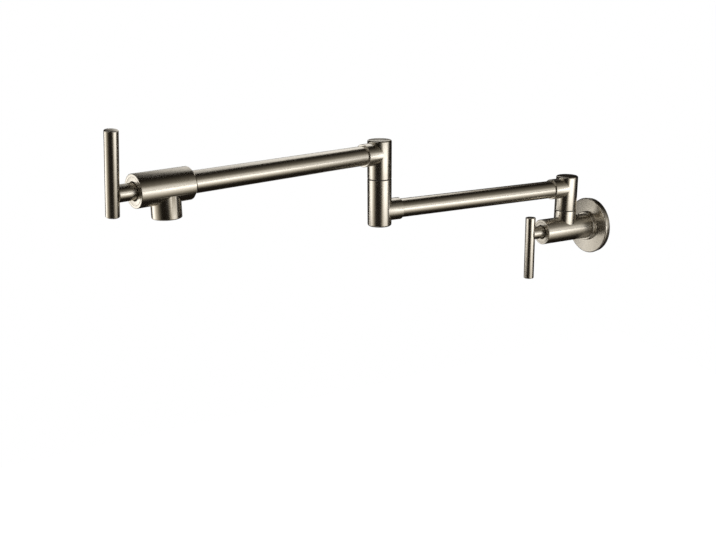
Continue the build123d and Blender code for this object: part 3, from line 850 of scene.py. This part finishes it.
panels = {
    "leftSoftbox": {**leftStand, "x": (-1.3, 2.3), "y": (-0.2, 0.95),
                    "feather": (0.85, 0.65, 0.15, 0.9), "slope": (-0.6, 0.1), "level": 1.6},
    "lowSoftbox": {**leftStand, "x": (-0.5, 1.95), "y": (-1.5, -0.15),
                   "feather": (0.05, 0.2, 0.55, 0.25), "slope": (0.2, -0.3), "level": 1.15},
    "rightSoftbox": {**rightStand, "x": (-0.35, 0.75), "y": (-1.0, -0.1),
                     "feather": (0.2, 0.7, 0.9, 0.05), "slope": (0.3, 0.8), "level": 1.35},
    "rightStrip": {**rightStand, "x": (-0.8, 1.3), "y": (-0.05, 0.75),
                   "feather": (0.05, 0.95, 0.05, 0.4), "slope": (0.8, -0.5), "level": 0.5},
    "rearCard": {"place": (-0.5, -0.2, -0.2), "azimuth": 25, "tilt": 20, "x": (-0.75, 0.45), "y": (0.45, 2.5),
                 "feather": (0.05, 0.25, 0.15, 0.4), "slope": (0.3, -0.2), "level": 0.9},
    "rearFill": {"place": (0.05, 0.55, 0.55), "azimuth": -65, "tilt": -40, "x": (-0.05, 1.25),
                 "y": (-0.95, 0.3), "feather": (0.15, 0.3, 0.15, 1.15), "slope": (-0.1, -0.4), "level": 0.5},
    "sideCard": {"place": (-0.2, -0.2, -0.05), "azimuth": 130, "tilt": 10, "x": (-0.05, 0.05),
                 "y": (-0.05, 0.05), "feather": (0.03, 0.03, 0.03, 0.03), "slope": (0, 0), "level": 0.55},
    "frontSoftbox": {"place": (0.0, -1.9, 1.3), "azimuth": 180, "tilt": -35, "x": (-1.6, 1.6),
                     "y": (-0.3, 0.9), "feather": (0.5, 0.5, 0.4, 0.4), "slope": (0, 0.2), "level": 0.6},
    "frontReflector": {"place": (0.1, -1.2, -1.7), "azimuth": 180, "tilt": 65, "x": (-1.2, 1.2),
                       "y": (-0.7, 0.4), "feather": (0.5, 0.5, 0.3, 0.3), "slope": (0, 0), "level": 0.4},
    "rearSheet": {"place": (-1.85, 0.7, -0.6), "azimuth": 65, "tilt": 15, "x": (-0.9, 0.9),
                  "y": (-0.8, 0.7), "feather": (0.5, 0.5, 0.4, 0.4), "slope": (0, 0), "level": 0.25},
}


def panelGlow(name, s):    # diffuser gauze: brighter towards its lamp, warm where it fades to its frame
    material, tree = newMaterial(name)
    where = addNode(tree, "ShaderNodeTexCoord")
    spot = addNode(tree, "ShaderNodeSeparateXYZ", {"Vector": where.outputs["Object"]})
    (west, east), (low, high) = s["x"], s["y"]
    left, right, bottom, top = s["feather"]
    across, rise = s["slope"]
    ramps = [("X", west, west + left, 0, 1), ("X", east, east - right, 0, 1),
             ("Y", low, low + bottom, 0, 1), ("Y", high, high - top, 0, 1),
             ("X", west, east, 1 - across, 1 + across), ("Y", low, high, 1 - rise, 1 + rise)]
    behind = addNode(tree, "ShaderNodeNewGeometry").outputs["Backfacing"]
    shape = calc(tree, "SUBTRACT", 1.0, behind)
    for axis, start, end, dark, bright in ramps:
        fade = addNode(tree, "ShaderNodeMapRange", {
            "Value": spot.outputs[axis], "From Min": start, "From Max": end, "To Min": dark,
            "To Max": bright}, interpolation_type="LINEAR" if dark else "SMOOTHSTEP")
        shape = calc(tree, "MULTIPLY", fade.outputs["Result"], shape)
    strength = calc(tree, "MULTIPLY", shape, s["level"])
    glow = addNode(tree, "ShaderNodeEmission", {
        "Color": blend(tree, shape, "#FFF4DD", "#FFFFFF"), "Strength": strength})
    clear = addNode(tree, "ShaderNodeBsdfTransparent")
    finish(tree, addNode(tree, "ShaderNodeAddShader", {0: glow.outputs[0], 1: clear.outputs[0]}))
    return material


def onlyReflected(thing):
    thing.visible_camera = thing.visible_diffuse = thing.visible_shadow = False
    thing.visible_transmission = thing.visible_volume_scatter = False


def flatSheet(name, across, rise, material):
    (left, right), (bottom, top) = across, rise
    mesh = bpy.data.meshes.new(name)
    corners = [(left, bottom, 0), (right, bottom, 0), (right, top, 0), (left, top, 0)]
    mesh.from_pydata(corners, [], [(0, 1, 2, 3)])
    mesh.materials.append(material)
    return newPiece(name, mesh)


def makePanel(name, s):
    panel = flatSheet(name, s["x"], s["y"], panelGlow(name, s))
    out, sideways = facing(math.radians(s["azimuth"]), math.radians(s["tilt"]))
    panel.matrix_world = place(Vector(s["place"]), out, sideways)
    onlyReflected(panel)


for name, sizes in panels.items():
    makePanel(name, sizes)

room = {    # metres
    "centre": (0.03, -0.28, 0.05), "radius": 3.0, "cloth": 0.008, "floor": -3.2, "floorSize": 12.0,
    "ambient": 0.85,         # the world's light on what isn't shiny, where 1 is the white that is seen
    "floorGlow": 0.35,
}


def makeCloth():
    mesh = bpy.data.meshes.new("blackCloth")
    work = bmesh.new()
    bmesh.ops.create_uvsphere(work, u_segments=48, v_segments=24, radius=room["radius"])
    bmesh.ops.translate(work, verts=work.verts, vec=room["centre"])
    work.to_mesh(mesh)
    work.free()
    material, tree = newMaterial("blackCloth")
    glow = addNode(tree, "ShaderNodeEmission", {"Color": colour("#FFE0BC"), "Strength": room["cloth"]})
    finish(tree, glow)
    mesh.materials.append(material)
    onlyReflected(newPiece("blackCloth", mesh))


def whereSeen(tree):    # 1 where the white is looked at, straight or in metal, and 0 where it lights
    ray = addNode(tree, "ShaderNodeLightPath").outputs
    seen = calc(tree, "ADD", ray["Is Camera Ray"], ray["Is Glossy Ray"])
    return calc(tree, "ADD", seen, ray["Is Transmission Ray"], use_clamp=True)


def makeWorld():
    world = bpy.data.worlds.new("studio")
    bpy.context.scene.world = world
    world.use_nodes = True
    tree = world.node_tree
    tree.nodes.clear()
    strength = addNode(tree, "ShaderNodeMix", {
        "Factor": whereSeen(tree), "A": room["ambient"], "B": 1.0}, data_type="FLOAT")
    shader = addNode(tree, "ShaderNodeBackground", {"Color": (1, 1, 1, 1), "Strength": strength.outputs[0]})
    addNode(tree, "ShaderNodeOutputWorld", {"Surface": shader.outputs[0]})


def makeFloor():
    half = room["floorSize"] / 2
    material, tree = newMaterial("paleFloor")
    paper = addNode(tree, "ShaderNodeBsdfDiffuse", {"Color": colour("#F4F3F1")})
    lift = calc(tree, "MULTIPLY", whereSeen(tree), room["floorGlow"])
    glow = addNode(tree, "ShaderNodeEmission", {"Color": (1, 1, 1, 1), "Strength": lift})
    finish(tree, addNode(tree, "ShaderNodeAddShader", {0: paper.outputs[0], 1: glow.outputs[0]}))
    floor = flatSheet("floor", (-half, half), (-half, half), material)
    floor.location = (0, 0, room["floor"])


makeCloth()
makeWorld()
makeFloor()
bpy.context.scene.view_settings.view_transform = "Standard"
print("studio ready")
